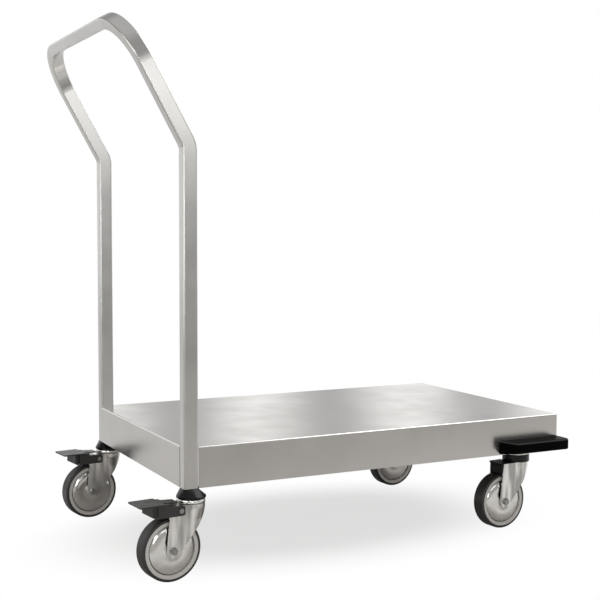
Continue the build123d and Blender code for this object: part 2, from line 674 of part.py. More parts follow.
# Pin: riveted at both ends outside the ears
with BuildPart() as pin:
    with BuildSketch(pin_plane):
        Circle(PIN_RADIUS)
    extrude(amount=ear_outer + SLIP, both=True)
    for side in (1, -1):
        with BuildSketch(pin_plane.offset(side * (ear_outer + SLIP))):
            Circle(RIVET_RADIUS)
        extrude(amount=side * RIVET_HEAD)

# Front guard block: fills the back of the fork between the cheeks, clear of the tyre
with BuildPart() as fork_guard:
    with Locations((BLOCK_BACK, 0, BLOCK_FOOT)):
        Box(BLOCK_LENGTH, FORK_GAP - 2 * TURNING_GAP, crown_underside - TURNING_GAP - BLOCK_FOOT,
            align=(Align.MIN, Align.CENTER, Align.MIN))
    fillet(fork_guard.faces().sort_by(Axis.X)[0].edges(), radius=BLOCK_EDGE)
    with BuildSketch(Plane.XZ):
        with Locations((-TRAIL, axle_z)):
            Circle(WHEEL_RADIUS + BLOCK_TYRE_GAP)
    extrude(amount=FORK_GAP, both=True, mode=Mode.SUBTRACT)

# ---------------------------------------------------------------- place the casters

for name, (x, y) in CASTERS.items():
    is_rear = name.startswith("rear")
    still = Location((x, y, 0))
    turned = Location((x, y, 0), (0, 0, SWIVEL_ANGLES[name]))
    save(head_ring.part, f"{name}_head_ring", still)
    save(rear_cap.part if is_rear else front_cap.part, f"{name}_cap", still)
    save(rear_fork.part if is_rear else fork.part, f"{name}_fork", turned)
    save(balls.part, f"{name}_bearing_balls", turned)
    save(Compound(children=[axle.part, axle_sleeve.part]), f"{name}_axle", turned)
    save(tyre.part, f"{name}_tyre", turned)
    save(rim.part, f"{name}_rim", turned)
    save(bush.part, f"{name}_bearing_bush", turned)
    save(guards.part, f"{name}_thread_guards", turned)
    if is_rear:
        save(pin.part, f"{name}_pedal_pin", turned)
        save(pedal.part, f"{name}_brake_pedal", turned)
        save(Compound(children=[shoe.part, pad.part]), f"{name}_brake_shoe", turned)
    else:
        save(fork_guard.part, f"{name}_fork_guard", turned)
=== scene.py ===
import json
import math

import bmesh
import bpy
from mathutils import Matrix, Vector


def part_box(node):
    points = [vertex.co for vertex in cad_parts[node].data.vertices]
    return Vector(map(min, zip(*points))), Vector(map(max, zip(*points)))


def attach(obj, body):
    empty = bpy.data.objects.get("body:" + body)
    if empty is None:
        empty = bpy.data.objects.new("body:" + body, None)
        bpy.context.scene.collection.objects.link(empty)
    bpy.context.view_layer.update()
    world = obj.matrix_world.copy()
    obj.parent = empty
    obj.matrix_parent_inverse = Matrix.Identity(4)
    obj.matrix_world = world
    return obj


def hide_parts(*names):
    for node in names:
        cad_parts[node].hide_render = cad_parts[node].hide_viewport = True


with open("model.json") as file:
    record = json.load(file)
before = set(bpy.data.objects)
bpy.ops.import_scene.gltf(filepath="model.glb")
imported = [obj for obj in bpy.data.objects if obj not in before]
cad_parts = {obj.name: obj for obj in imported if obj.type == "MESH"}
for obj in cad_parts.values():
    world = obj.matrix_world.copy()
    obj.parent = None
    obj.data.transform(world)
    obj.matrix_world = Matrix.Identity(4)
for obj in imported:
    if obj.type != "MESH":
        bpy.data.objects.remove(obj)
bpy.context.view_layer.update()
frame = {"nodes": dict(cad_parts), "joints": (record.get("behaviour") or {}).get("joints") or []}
nodes = frame["nodes"]
joints = {joint["name"]: joint for joint in frame["joints"]}
MM = 0.001

# ------------------------------------------------------------------ camera

CAMERA_PLACE = (-1.1844, -2.3487, 0.7001)   # metres
CAMERA_TURN = 26.837                        # degrees, from +Y towards +X
CAMERA_TILT = 3.724                         # degrees, downwards
CAMERA_ROLL = 0.166                         # degrees
CAMERA_LENS = 67.29                         # mm
CAMERA_SENSOR = 36.0                        # mm
CAMERA_REACH = 60.0                         # metres

camera_data = bpy.data.cameras.new("camera")
camera_data.sensor_width = CAMERA_SENSOR
camera_data.lens = CAMERA_LENS
camera_data.clip_end = CAMERA_REACH
camera = bpy.data.objects.new("camera", camera_data)
camera.matrix_world = (
    Matrix.Translation(CAMERA_PLACE)
    @ Matrix.Rotation(math.radians(-CAMERA_TURN), 4, "Z")
    @ Matrix.Rotation(math.radians(90 - CAMERA_TILT), 4, "X")
    @ Matrix.Rotation(math.radians(CAMERA_ROLL), 4, "Z")
)
bpy.context.scene.collection.objects.link(camera)
bpy.context.scene.camera = camera
bpy.context.scene.view_settings.view_transform = "Standard"

# ------------------------------------------------------------------ node helpers


def linear(hex_colour):
    """sRGB hex to linear RGBA."""
    out = []
    for i in (1, 3, 5):
        c = int(hex_colour[i:i + 2], 16) / 255
        out.append(c / 12.92 if c <= 0.04045 else ((c + 0.055) / 1.055) ** 2.4)
    return (*out, 1.0)


def put(tree, kind, inputs=(), **settings):
    """Add one node: settings are its own properties, inputs its sockets by name or place.

    An input that is a socket is linked, a hex string is a colour, anything else is its value.
    A Mix node's sockets go by place: 0 is the factor, 2 and 3 are floats, 4 and 5 vectors,
    6 and 7 colours, and its outputs 0, 1 and 2 are the mixed float, vector and colour."""
    made = tree.nodes.new(kind)
    for key, value in settings.items():
        setattr(made, key, value)
    for key, value in dict(inputs).items():
        socket = made.inputs[key]
        if isinstance(value, bpy.types.NodeSocket):
            tree.links.new(value, socket)
        elif isinstance(value, str):
            socket.default_value = linear(value)[:len(socket.default_value)]
        else:
            socket.default_value = value
    return made


def new_material(name, colour):
    """An empty node material and its tree; colour is what a plain viewport shows."""
    made = bpy.data.materials.new(name)
    made.use_nodes = True
    made.node_tree.nodes.clear()
    made.diffuse_color = linear(colour)
    return made, made.node_tree


NOISE_LOW, NOISE_HIGH = 0.3, 0.7    # nearly all values of a noise lie between these
GRAINY, SMOOTH = 2.0, 0.0           # detail of a noise: finer noise laid over it, or none

# ------------------------------------------------------------------ stainless steel

# the polish lines of the real finish are 0.1 mm apart; drawn 1.4 mm wide so that they show
POLISH_LINE = 1.4 * MM
POLISH_RUN = 90 * MM        # how far one line runs
POLISH_DEPTH = 0.2 * MM     # drawn depth of a line, of which a finish takes a share
SHEET_SCORING = 0.04        # that share on folded sheet
TUBE_SCORING = 0.012        # and on the tube, which is polished finer
POLISH_SMEAR = 0.45         # how strongly the lines draw out a reflection, from 0 to 1
SMEAR_TURN = 0.25           # a quarter turn: it is drawn across the lines
SHEET_WAVE = 260 * MM       # flat sheet is never quite flat: gentle buckles this far apart
POLISH_CLOUD = 80 * MM      # a belt polisher leaves patches about a hand wide
POLISH_SHADE = 0.93         # brightness of the duller patches


def stainless_shader(tree, place, tangent, colour, rough, wave, scoring):
    """Stainless steel finished with an abrasive belt.

    place is the surface position turned so that its X runs along the polish lines. The lines
    smear reflections sideways, the patches and buckles make them soft and uneven."""
    lines_at = put(tree, "ShaderNodeMapping", {
        "Vector": place, "Scale": (1 / POLISH_RUN, 1 / POLISH_LINE, 1 / POLISH_LINE)})
    lines = put(tree, "ShaderNodeTexNoise", {
        "Vector": lines_at.outputs[0], "Scale": 1.0, "Detail": GRAINY})
    clouds = put(tree, "ShaderNodeTexNoise", {
        "Vector": place, "Scale": 1 / POLISH_CLOUD, "Detail": GRAINY})
    buckles = put(tree, "ShaderNodeTexNoise", {
        "Vector": place, "Scale": 1 / SHEET_WAVE, "Detail": SMOOTH})
    roughness = put(tree, "ShaderNodeMapRange", {
        "Value": clouds.outputs[0], "From Min": NOISE_LOW, "From Max": NOISE_HIGH,
        "To Min": rough[0], "To Max": rough[1]})
    shade = put(tree, "ShaderNodeMapRange", {
        "Value": clouds.outputs[0], "From Min": NOISE_LOW, "From Max": NOISE_HIGH,
        "To Min": POLISH_SHADE, "To Max": 1.0})
    patched = put(tree, "ShaderNodeVectorMath", {0: colour, "Scale": shade.outputs[0]},
                  operation="SCALE")
    bent = put(tree, "ShaderNodeBump", {
        "Strength": 1.0, "Distance": wave, "Height": buckles.outputs[0]})
    scored = put(tree, "ShaderNodeBump", {
        "Strength": scoring, "Distance": POLISH_DEPTH, "Height": lines.outputs[0],
        "Normal": bent.outputs[0]})
    return put(tree, "ShaderNodeBsdfPrincipled", {
        "Base Color": patched.outputs[0], "Metallic": 1.0, "Roughness": roughness.outputs[0],
        "Anisotropic": POLISH_SMEAR, "Anisotropic Rotation": SMEAR_TURN, "Tangent": tangent,
        "Normal": scored.outputs[0]})


FOLD_HIGHLIGHT_RISE, FOLD_HIGHLIGHT_SPAN = 0.55, 0.42   # an upper fold's normal Z, give or take the second: those folds get a painted highlight
END_FACING = 0.7                    # a normal with more X than this is one of the cart's ends


def belt_polished_sheet(name, plain, fold, rough, wave):
    """Folded stainless sheet: lines run along the cart, and across it on the two ends.

    The upper folds are painted brighter than the flats: a painted highlight."""
    made, tree = new_material(name, plain)
    place = put(tree, "ShaderNodeTexCoord").outputs["Object"]
    facing = put(tree, "ShaderNodeNewGeometry").outputs["Normal"]
    facing_way = put(tree, "ShaderNodeSeparateXYZ", {0: facing})
    # upper folds take the lighter colour: a painted highlight
    fold_highlight_mask = put(tree, "ShaderNodeMath", {0: facing_way.outputs["Z"], 1: FOLD_HIGHLIGHT_RISE, 2: FOLD_HIGHLIGHT_SPAN},
                operation="COMPARE")
    colour = put(tree, "ShaderNodeMix", {0: fold_highlight_mask.outputs[0], 6: plain, 7: fold},
                 data_type="RGBA")
    steep = put(tree, "ShaderNodeMath", {0: facing_way.outputs["X"]}, operation="ABSOLUTE")
    is_end = put(tree, "ShaderNodeMath", {0: steep.outputs[0], 1: END_FACING},
                 operation="GREATER_THAN")
    turned = put(tree, "ShaderNodeVectorRotate", {"Vector": place, "Angle": math.radians(90)},
                 rotation_type="Z_AXIS")
    lying = put(tree, "ShaderNodeMix", {0: is_end.outputs[0], 4: place, 5: turned.outputs[0]},
                data_type="VECTOR")
    tangent = put(tree, "ShaderNodeMix", {0: is_end.outputs[0], 4: (1, 0, 0), 5: (0, 1, 0)},
                  data_type="VECTOR")
    shader = stainless_shader(tree, lying.outputs[1], tangent.outputs[1], colour.outputs[2],
                              rough, wave, SHEET_SCORING)
    put(tree, "ShaderNodeOutputMaterial", {"Surface": shader.outputs[0]})
    return made


HANDLE_BEND = 0.859        # height where the posts turn back, metres
HANDLE_LEAN = math.radians(29)
HANDLE_CORNER = 0.2        # the cross bar lies within this distance of the middle, metres


def belt_polished_tube(name, plain, rough, wave):
    """Stainless tube polished before it was bent: the lines follow post, leaning leg and bar."""
    made, tree = new_material(name, plain)
    place = put(tree, "ShaderNodeTexCoord").outputs["Object"]
    parts = put(tree, "ShaderNodeSeparateXYZ", {0: place})
    leans = put(tree, "ShaderNodeMath", {0: parts.outputs["Z"], 1: HANDLE_BEND},
                operation="GREATER_THAN")
    side = put(tree, "ShaderNodeMath", {0: parts.outputs["Y"]}, operation="ABSOLUTE")
    is_bar = put(tree, "ShaderNodeMath", {0: side.outputs[0], 1: HANDLE_CORNER},
                 operation="LESS_THAN")
    post = put(tree, "ShaderNodeVectorRotate", {"Vector": place, "Angle": math.radians(90)},
               rotation_type="Y_AXIS")
    leg = put(tree, "ShaderNodeVectorRotate", {
        "Vector": place, "Angle": math.radians(90) + HANDLE_LEAN}, rotation_type="Y_AXIS")
    bar = put(tree, "ShaderNodeVectorRotate", {"Vector": place, "Angle": math.radians(90)},
              rotation_type="Z_AXIS")
    upright = put(tree, "ShaderNodeMix", {0: leans.outputs[0], 4: post.outputs[0],
                                          5: leg.outputs[0]}, data_type="VECTOR")
    lying = put(tree, "ShaderNodeMix", {0: is_bar.outputs[0], 4: upright.outputs[1],
                                        5: bar.outputs[0]}, data_type="VECTOR")
    along = put(tree, "ShaderNodeMix", {
        0: leans.outputs[0], 4: (0, 0, 1),
        5: (-math.sin(HANDLE_LEAN), 0, math.cos(HANDLE_LEAN))}, data_type="VECTOR")
    tangent = put(tree, "ShaderNodeMix", {0: is_bar.outputs[0], 4: along.outputs[1],
                                          5: (0, 1, 0)}, data_type="VECTOR")
    shader = stainless_shader(tree, lying.outputs[1], tangent.outputs[1], plain, rough, wave,
                              TUBE_SCORING)
    put(tree, "ShaderNodeOutputMaterial", {"Surface": shader.outputs[0]})
    return made


# cold rolled stainless sheet, belt polished: satin, with soft cloudy reflections; its upper
# folds painted lighter as a painted highlight
deck_stainless = belt_polished_sheet(
    "belt_polished_stainless_sheet", "#c2bfbb", "#e6e4e1", rough=(0.20, 0.265), wave=3.4 * MM)
# stainless left as it came from the mill: duller and greyer, its reflections blurred; its upper
# folds painted a little lighter as a painted highlight
channel_stainless = belt_polished_sheet(
    "mill_finish_stainless_channel", "#adaaa5", "#b9b6b1", rough=(0.34, 0.44), wave=1.0 * MM)
# drawn stainless tube, belt polished: the same satin, but straighter reflections
tube_stainless = belt_polished_tube(
    "belt_polished_stainless_tube", "#c8c7c4", rough=(0.20, 0.26), wave=0.12 * MM)

# ------------------------------------------------------------------ plated steel

PIT_DEPTH = 0.1 * MM        # drawn depth of the plating's pits, of which relief is the share
DRAW_DEPTH = 0.9 * MM       # drawn depth of the press's drawing marks
DRAW_RUN = 8                # such a mark is this many times as long as wide


def plated_steel(name, light, dark, rough, patch, grain, relief, draw=0):
    """Electroplated steel: bright, with patch-wide clouds where the plating lies thicker.

    patch and grain are in millimetres, and draw is the width of upright drawing marks: they are
    bumped, and in colour they are light and dark streaks of painted reflection."""
    made, tree = new_material(name, light)
    place = put(tree, "ShaderNodeTexCoord").outputs["Object"]
    clouds = put(tree, "ShaderNodeTexNoise", {
        "Vector": place, "Scale": 1 / (patch * MM), "Detail": GRAINY})
    pits = put(tree, "ShaderNodeTexNoise", {
        "Vector": place, "Scale": 1 / (grain * MM), "Detail": GRAINY})
    bump = put(tree, "ShaderNodeBump", {
        "Strength": relief, "Distance": PIT_DEPTH, "Height": pits.outputs[0]})
    marks = clouds
    if draw:
        across = 1 / (draw * MM)
        upright = put(tree, "ShaderNodeMapping", {
            "Vector": place, "Scale": (across, across, 1 / (DRAW_RUN * draw * MM))})
        marks = put(tree, "ShaderNodeTexNoise", {
            "Vector": upright.outputs[0], "Scale": 1.0, "Detail": SMOOTH})
        bump = put(tree, "ShaderNodeBump", {
            "Strength": 1.0, "Distance": DRAW_DEPTH, "Height": marks.outputs[0],
            "Normal": bump.outputs[0]})
    # the colour follows the same noise: with drawing marks, its light and dark streaks are a
    # painted reflection
    shade = put(tree, "ShaderNodeMapRange", {
        "Value": marks.outputs[0], "From Min": NOISE_LOW, "From Max": NOISE_HIGH})
    colour = put(tree, "ShaderNodeMix", {0: shade.outputs[0], 6: dark, 7: light},
                 data_type="RGBA")
    roughness = put(tree, "ShaderNodeMapRange", {
        "Value": clouds.outputs[0], "From Min": NOISE_LOW, "From Max": NOISE_HIGH,
        "To Min": rough[0], "To Max": rough[1]})
    shader = put(tree, "ShaderNodeBsdfPrincipled", {
        "Base Color": colour.outputs[2], "Metallic": 1.0, "Roughness": roughness.outputs[0],
        "Normal": bump.outputs[0]})
    put(tree, "ShaderNodeOutputMaterial", {"Surface": shader.outputs[0]})
    return made


# bright zinc on pressed steel: the drawing marks of the press show as upright bumps, and as
# light and dark streaks of painted reflection
zinc_fork = plated_steel(
    "bright_zinc_pressed_steel", "#dedcd8", "#a19f9b", rough=(0.2, 0.265), patch=12, grain=1.5,
    relief=0.12, draw=9)
# nickel and chrome on turned steel: nearly a mirror
chrome_ring = plated_steel(
    "nickel_chrome_turned_steel", "#e6e5e3", "#dbdad7", rough=(0.05, 0.09), patch=20, grain=1.5,
    relief=0.02)
# stainless disc spun and buffed: clear but soft reflections
spun_disc = plated_steel(
    "spun_stainless_disc", "#d6d4d0", "#c9c7c3", rough=(0.10, 0.16), patch=18, grain=1.5,
    relief=0.04)
# dull zinc on bolts and nuts: grey and finely pitted
zinc_bolt = plated_steel(
    "dull_zinc_bolt_steel", "#9d9b97", "#84827e", rough=(0.34, 0.44), patch=6, grain=1.0,
    relief=0.3)

# ------------------------------------------------------------------ plastics, rubber and paint

FLOW_PATCH = 30                     # mm from one flow mark of a moulding to the next
SKIN_DEPTH = 0.2 * MM               # drawn depth of a skin's grain, of which relief is the share
EDGE_HIGHLIGHT_RISE, EDGE_HIGHLIGHT_SPAN = 0.6, 0.3     # a rounded upper edge's normal Z, give or take the second: those edges get a painted highlight


def moulded_skin(name, light, dark, rough, grit, relief, ior, gloss=0.5, edge_highlight=None):
    """Moulded or coated surface: a fine grained skin, with faint flow marks in colour and gloss.

    grit is in millimetres. A gloss under 0.5 stands for a skin full of fine pores.
    The last argument is the colour painted on the rounded upper edges: a painted highlight."""
    made, tree = new_material(name, light)
    place = put(tree, "ShaderNodeTexCoord").outputs["Object"]
    flow = put(tree, "ShaderNodeTexNoise", {
        "Vector": place, "Scale": 1 / (FLOW_PATCH * MM), "Detail": GRAINY})
    grain = put(tree, "ShaderNodeTexNoise", {
        "Vector": place, "Scale": 1 / (grit * MM), "Detail": GRAINY})
    colour = put(tree, "ShaderNodeMix", {0: flow.outputs[0], 6: dark, 7: light},
                 data_type="RGBA")
    if edge_highlight:
        # the rounded upper edges are painted lighter: a painted highlight
        facing = put(tree, "ShaderNodeNewGeometry").outputs["Normal"]
        rise = put(tree, "ShaderNodeSeparateXYZ", {0: facing}).outputs["Z"]
        highlight_edge = put(tree, "ShaderNodeMath", {0: rise, 1: EDGE_HIGHLIGHT_RISE, 2: EDGE_HIGHLIGHT_SPAN},
                   operation="COMPARE")
        colour = put(tree, "ShaderNodeMix", {
            0: highlight_edge.outputs[0], 6: colour.outputs[2], 7: edge_highlight}, data_type="RGBA")
    roughness = put(tree, "ShaderNodeMapRange", {
        "Value": flow.outputs[0], "From Min": NOISE_LOW, "From Max": NOISE_HIGH,
        "To Min": rough[0], "To Max": rough[1]})
    bump = put(tree, "ShaderNodeBump", {
        "Strength": relief, "Distance": SKIN_DEPTH, "Height": grain.outputs[0]})
    shader = put(tree, "ShaderNodeBsdfPrincipled", {
        "Base Color": colour.outputs[2], "Roughness": roughness.outputs[0], "IOR": ior,
        "Specular IOR Level": gloss, "Normal": bump.outputs[0]})
    put(tree, "ShaderNodeOutputMaterial", {"Surface": shader.outputs[0]})
    return made


# moulded EPDM rubber bumper: deep black and dull, its rounded upper edges painted grey as a
# painted highlight
bumper_rubber = moulded_skin(
    "black_epdm_rubber", "#050505", "#030303", rough=(0.36, 0.44), grit=0.9, relief=0.08,
    ior=1.5, gloss=0.02, edge_highlight="#3c3b3a")
# polyamide caps from a polished mould: near black with small sharp highlights
cap_polyamide = moulded_skin(
    "black_polyamide", "#080808", "#050505", rough=(0.16, 0.22), grit=0.8, relief=0.03,
    ior=1.53, gloss=0.25)
# the same plastic from a spark-eroded mould: softer highlights
guard_polyamide = moulded_skin(
    "spark_eroded_polyamide", "#0d0d0d", "#080808", rough=(0.4, 0.5), grit=1.0, relief=0.3,
    ior=1.53, gloss=0.2)
# moulded thermoplastic rubber tread: dark grey, satin
tread_rubber = moulded_skin(
    "grey_tread_rubber", "#2a2826", "#221f1e", rough=(0.42, 0.54), grit=0.9, relief=0.2,
    ior=1.52)
# moulded polypropylene wheel centre: pale grey, low sheen
rim_plastic = moulded_skin(
    "grey_polypropylene", "#c4c1bc", "#b9b6b1", rough=(0.36, 0.46), grit=2.0, relief=0.03,
    ior=1.49)
# turned nylon bearing bush: milky white with a slight sheen
bush_nylon = moulded_skin(
    "white_nylon", "#d8d5cd", "#cdcac2", rough=(0.35, 0.45), grit=1.2, relief=0.1, ior=1.53)
# powder coat over pressed steel: dark grey with a fine orange peel
pedal_coat = moulded_skin(
    "dark_grey_powder_coat", "#2a2928", "#222120", rough=(0.3, 0.4), grit=1.6, relief=0.25,
    ior=1.5)
# moulded brake rubber: black, dull and grainy
shoe_rubber = moulded_skin(
    "black_brake_rubber", "#121111", "#0c0c0b", rough=(0.5, 0.6), grit=1.0, relief=0.3, ior=1.52)

FINISHES = {
    "handle_tube": tube_stainless, "deck_sheet": deck_stainless,
    "front_channel": channel_stainless, "deck_stiffeners": channel_stainless,
    "bumper_right": bumper_rubber, "bumper_left": bumper_rubber, "bumper_bolts": zinc_bolt,
    "rear_stems": zinc_bolt, "front_stems": zinc_bolt, "rear_expanders": shoe_rubber,
    "front_pads": zinc_fork,
}
CASTER_FINISHES = {
    "cap": cap_polyamide, "head_ring": chrome_ring, "fork": zinc_fork,
    "bearing_balls": chrome_ring, "axle": zinc_bolt, "pedal_pin": zinc_bolt,
    "fork_guard": guard_polyamide, "tyre": tread_rubber, "rim": rim_plastic,
    "bearing_bush": bush_nylon, "thread_guards": spun_disc, "brake_pedal": pedal_coat,
    "brake_shoe": shoe_rubber,
}
REAR_CASTERS = ("rear_right", "rear_left")
FRONT_CASTERS = ("front_right", "front_left")
for caster in REAR_CASTERS + FRONT_CASTERS:
    for part, finish in CASTER_FINISHES.items():
        if f"{caster}_{part}" in nodes:
            FINISHES[f"{caster}_{part}"] = finish

for name, finish in FINISHES.items():
    for slot in nodes[name].material_slots:
        slot.material = finish

# ------------------------------------------------------------------ turned and pressed pieces

TURN_STEPS = 96            # facets round a turned piece
TURN_CORE = 1 * MM         # radius of the circle that the outline is carried round


def turning_tree():
    """A lathe: carries the object's own outline, X its radius and Y its height, round Z."""
    tree = bpy.data.node_groups.new("turning", "GeometryNodeTree")
    for label, kind in (("Outline", "Geometry"), ("Steps", "Int"), ("Core", "Float"),
                        ("Finish", "Material")):
        tree.interface.new_socket(label, in_out="INPUT", socket_type="NodeSocket" + kind)
    tree.interface.new_socket("Turned", in_out="OUTPUT", socket_type="NodeSocketGeometry")
    given = put(tree, "NodeGroupInput").outputs
    inwards = put(tree, "ShaderNodeMath", {0: given["Core"], 1: -1.0}, operation="MULTIPLY")
    shift = put(tree, "ShaderNodeCombineXYZ", {"X": inwards.outputs[0]})
    outline = put(tree, "GeometryNodeMeshToCurve", {"Mesh": given["Outline"]})
    # turned over, because a circle carries its profile's Y downwards
    profile = put(tree, "GeometryNodeTransform", {
        "Geometry": outline.outputs[0], "Translation": shift.outputs[0], "Scale": (1, -1, 1)})
    circle = put(tree, "GeometryNodeCurvePrimitiveCircle", {
        "Resolution": given["Steps"], "Radius": given["Core"]})
    swept = put(tree, "GeometryNodeCurveToMesh", {
        "Curve": circle.outputs[0], "Profile Curve": profile.outputs[0]})
    whole = put(tree, "GeometryNodeRealizeInstances", {"Geometry": swept.outputs[0]})
    finished = put(tree, "GeometryNodeSetMaterial", {
        "Geometry": whole.outputs[0], "Material": given["Finish"]})
    put(tree, "NodeGroupOutput", {"Turned": finished.outputs[0]})
    return tree


turning = turning_tree()


def add_piece(name, mesh, sharp_angle):
    """A smooth piece from a mesh, with its normals turned outwards.

    Edges that fold by more than sharp_angle degrees stay sharp."""
    shape = bmesh.new()
    shape.from_mesh(mesh)
    bmesh.ops.recalc_face_normals(shape, faces=shape.faces)
    shape.to_mesh(mesh)
    shape.free()
    mesh.shade_smooth()
    mesh.set_sharp_from_angle(angle=math.radians(sharp_angle))
    made = bpy.data.objects.new(name, mesh)
    bpy.context.scene.collection.objects.link(made)
    return made


def turned_piece(name, outlines, place, finish, sharp_angle):
    """Closed outlines of (radius, height) in mm, turned on the lathe and set at place."""
    corners, edges = [], []
    for outline in outlines:
        start, count = len(corners), len(outline)
        corners += [(radius * MM, height * MM, 0.0) for radius, height in outline]
        edges += [(start + i, start + (i + 1) % count) for i in range(count)]
    blank = bpy.data.meshes.new(f"{name}_outline")
    blank.from_pydata(corners, edges, [])
    lathe = bpy.data.objects.new(f"{name}_lathe", blank)
    bpy.context.scene.collection.objects.link(lathe)
    turn = lathe.modifiers.new("turning", "NODES")
    turn.node_group = turning
    sizes = {"Steps": TURN_STEPS, "Core": TURN_CORE, "Finish": finish}
    for socket in turning.interface.items_tree:
        if socket.name in sizes:
            turn[socket.identifier] = sizes[socket.name]
    ready = lathe.evaluated_get(bpy.context.evaluated_depsgraph_get())
    mesh = bpy.data.meshes.new_from_object(ready)
    mesh.name = name
    mesh.transform(place)
    bpy.data.objects.remove(lathe)
    bpy.data.meshes.remove(blank)
    return add_piece(name, mesh, sharp_angle)


# outline of one disc from its edge to the hub, as a spun disc flows: radius and half width, mm
DISC_OUTLINE = (
    (48.5, 13.0), (47.6, 13.8), (46.0, 14.7), (43.6, 15.7), (40.2, 16.6), (36.4, 17.2),
    (32.4, 17.5), (28.6, 17.5), (25.4, 17.3), (22.4, 17.2), (19.6, 17.4), (17.0, 17.9),
    (14.6, 18.4))
DISC_SHEET = 1.0           # mm
DISC_SHARP = 35            # degrees


def spun_discs(caster):
    """Both dished discs of one wheel, with the flowing outline of a spun sheet."""
    axle = Vector(joints[f"{caster}_wheel_spin"]["axis"])
    low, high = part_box(f"{caster}_thread_guards")
    middle = (Vector(low) + Vector(high)) / 2
    along_axle = axle.to_track_quat("Z", "Y").to_matrix().to_4x4()
    inside = [(radius, half - DISC_SHEET) for radius, half in reversed(DISC_OUTLINE)]
    disc = list(DISC_OUTLINE) + inside
    other_disc = [(radius, -half) for radius, half in disc]
    made = turned_piece(f"{caster}_spun_discs", (disc, other_disc),
                        Matrix.Translation(middle) @ along_axle, spun_disc, DISC_SHARP)
    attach(made, f"{caster}_wheel")
    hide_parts(f"{caster}_thread_guards")


# bright pressed ring round a rear swivel head: radius and height above the floor, mm
SWIVEL_RING = (
    (24.6, 161.9), (26.2, 161.4), (27.6, 160.3), (28.5, 158.7), (28.9, 156.8), (28.8, 154.9),
    (28.2, 153.3), (27.2, 152.6), (25.2, 152.6), (25.2, 160.2), (24.2, 161.0))
RING_SHARP = 50            # degrees


def swivel_ring(caster):
    """The domed bright ring between cap and fork, over the plain swivel head."""
    x, y, _ = joints[f"{caster}_swivel_turn"]["pos_m"]
    made = turned_piece(f"{caster}_swivel_ring", (SWIVEL_RING,), Matrix.Translation((x, y, 0.0)),
                        chrome_ring, RING_SHARP)
    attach(made, "root")


# black lip of the guard that lies over the rear end of a front fork's crown, mm from its pivot
LIP_BACK = -61.0
LIP_FRONT = -56.1          # the drop behind the crown's edge ends here
LIP_HALF = 23.5
LIP_ROUND = 2.0            # radius of the two rear corners
LIP_ROUND_STEPS = 6
LIP_THICK = 1.2
LIP_DROP = 2.7
LIP_CLEAR = 33.5           # radius round the swivel axis that the lip stays out of
LIP_CLEAR_STEPS = 24
LIP_SHARP = 35             # degrees


def guard_lip(caster):
    """The guard's top lip: a thin plate with rounded rear corners, hollowed round the cap."""
    pivot = Vector(joints[f"{caster}_swivel_turn"]["pos_m"])
    across = Vector(joints[f"{caster}_wheel_spin"]["axis"])
    ahead = across.cross(Vector((0, 0, 1)))
    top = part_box(f"{caster}_fork")[1][2] / MM
    corners = []
    for side, start in ((-1, 0.0), (1, math.pi / 2)):
        for step in range(LIP_ROUND_STEPS + 1):
            a = start + math.pi / 2 / LIP_ROUND_STEPS * step
            corners.append((LIP_BACK + LIP_ROUND - LIP_ROUND * math.sin(a),
                            side * (LIP_HALF - LIP_ROUND) - LIP_ROUND * math.cos(a)))
    reach = math.asin(LIP_HALF / LIP_CLEAR)
    hollow = []
    for step in range(LIP_CLEAR_STEPS + 1):
        a = reach * (1 - 2 * step / LIP_CLEAR_STEPS)
        hollow.append((-LIP_CLEAR * math.cos(a), LIP_CLEAR * math.sin(a)))
    straight = [(LIP_FRONT, LIP_HALF), (LIP_FRONT, -LIP_HALF)]
    points, faces = [], []
    for front, low, high in ((hollow, top, top + LIP_THICK), (straight, top - LIP_DROP, top)):
        outline = front + corners
        start, count = len(points), len(outline)
        for height in (low, high):
            points += [Vector((pivot.x, pivot.y, height * MM)) + (ahead * x + across * y) * MM
                       for x, y in outline]
        faces.append([start + i for i in range(count)])
        faces.append([start + count + i for i in range(count)])
        for i in range(count):
            j = (i + 1) % count
            faces.append((start + i, start + j, start + count + j, start + count + i))
    mesh = bpy.data.meshes.new(f"{caster}_guard_lip")
    mesh.from_pydata([tuple(p) for p in points], [], faces)
    mesh.materials.append(guard_polyamide)
    made = add_piece(f"{caster}_guard_lip", mesh, LIP_SHARP)
    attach(made, f"{caster}_swivel")


for caster in REAR_CASTERS + FRONT_CASTERS:
    spun_discs(caster)
for caster in REAR_CASTERS:
    swivel_ring(caster)
for caster in FRONT_CASTERS:
    guard_lip(caster)

# ------------------------------------------------------------------ floor

FLOOR_COLOUR = "#cfccc9"
FLOOR_HALF = 9.0                # metres
DECK_HALF = (0.50, 0.30, 1.0)   # half the cart's length and width, metres; the floor is flat
FLOOR_WHITE = 0.68              # share of plain white in the floor under the cart, as seen: less white there, a painted shadow on top of the real one
# distances from the middle, in half decks: the paper turns to plain white between these
FLOOR_NEAR, FLOOR_FAR = 0.6, 1.4
# metal sees plain white there too, but only beside and behind the cart, and only this share
OPEN_WHITE = 0.65
OPEN_NEAR, OPEN_FAR = 1.35, 1.8         # half decks from the middle
OPEN_FRONT, OPEN_BACK = -0.85, -0.6     # metres behind the middle, as the camera looks
BACKDROP_SIDE = (math.sin(math.radians(CAMERA_TURN)), math.cos(math.radians(CAMERA_TURN)), 0.0)


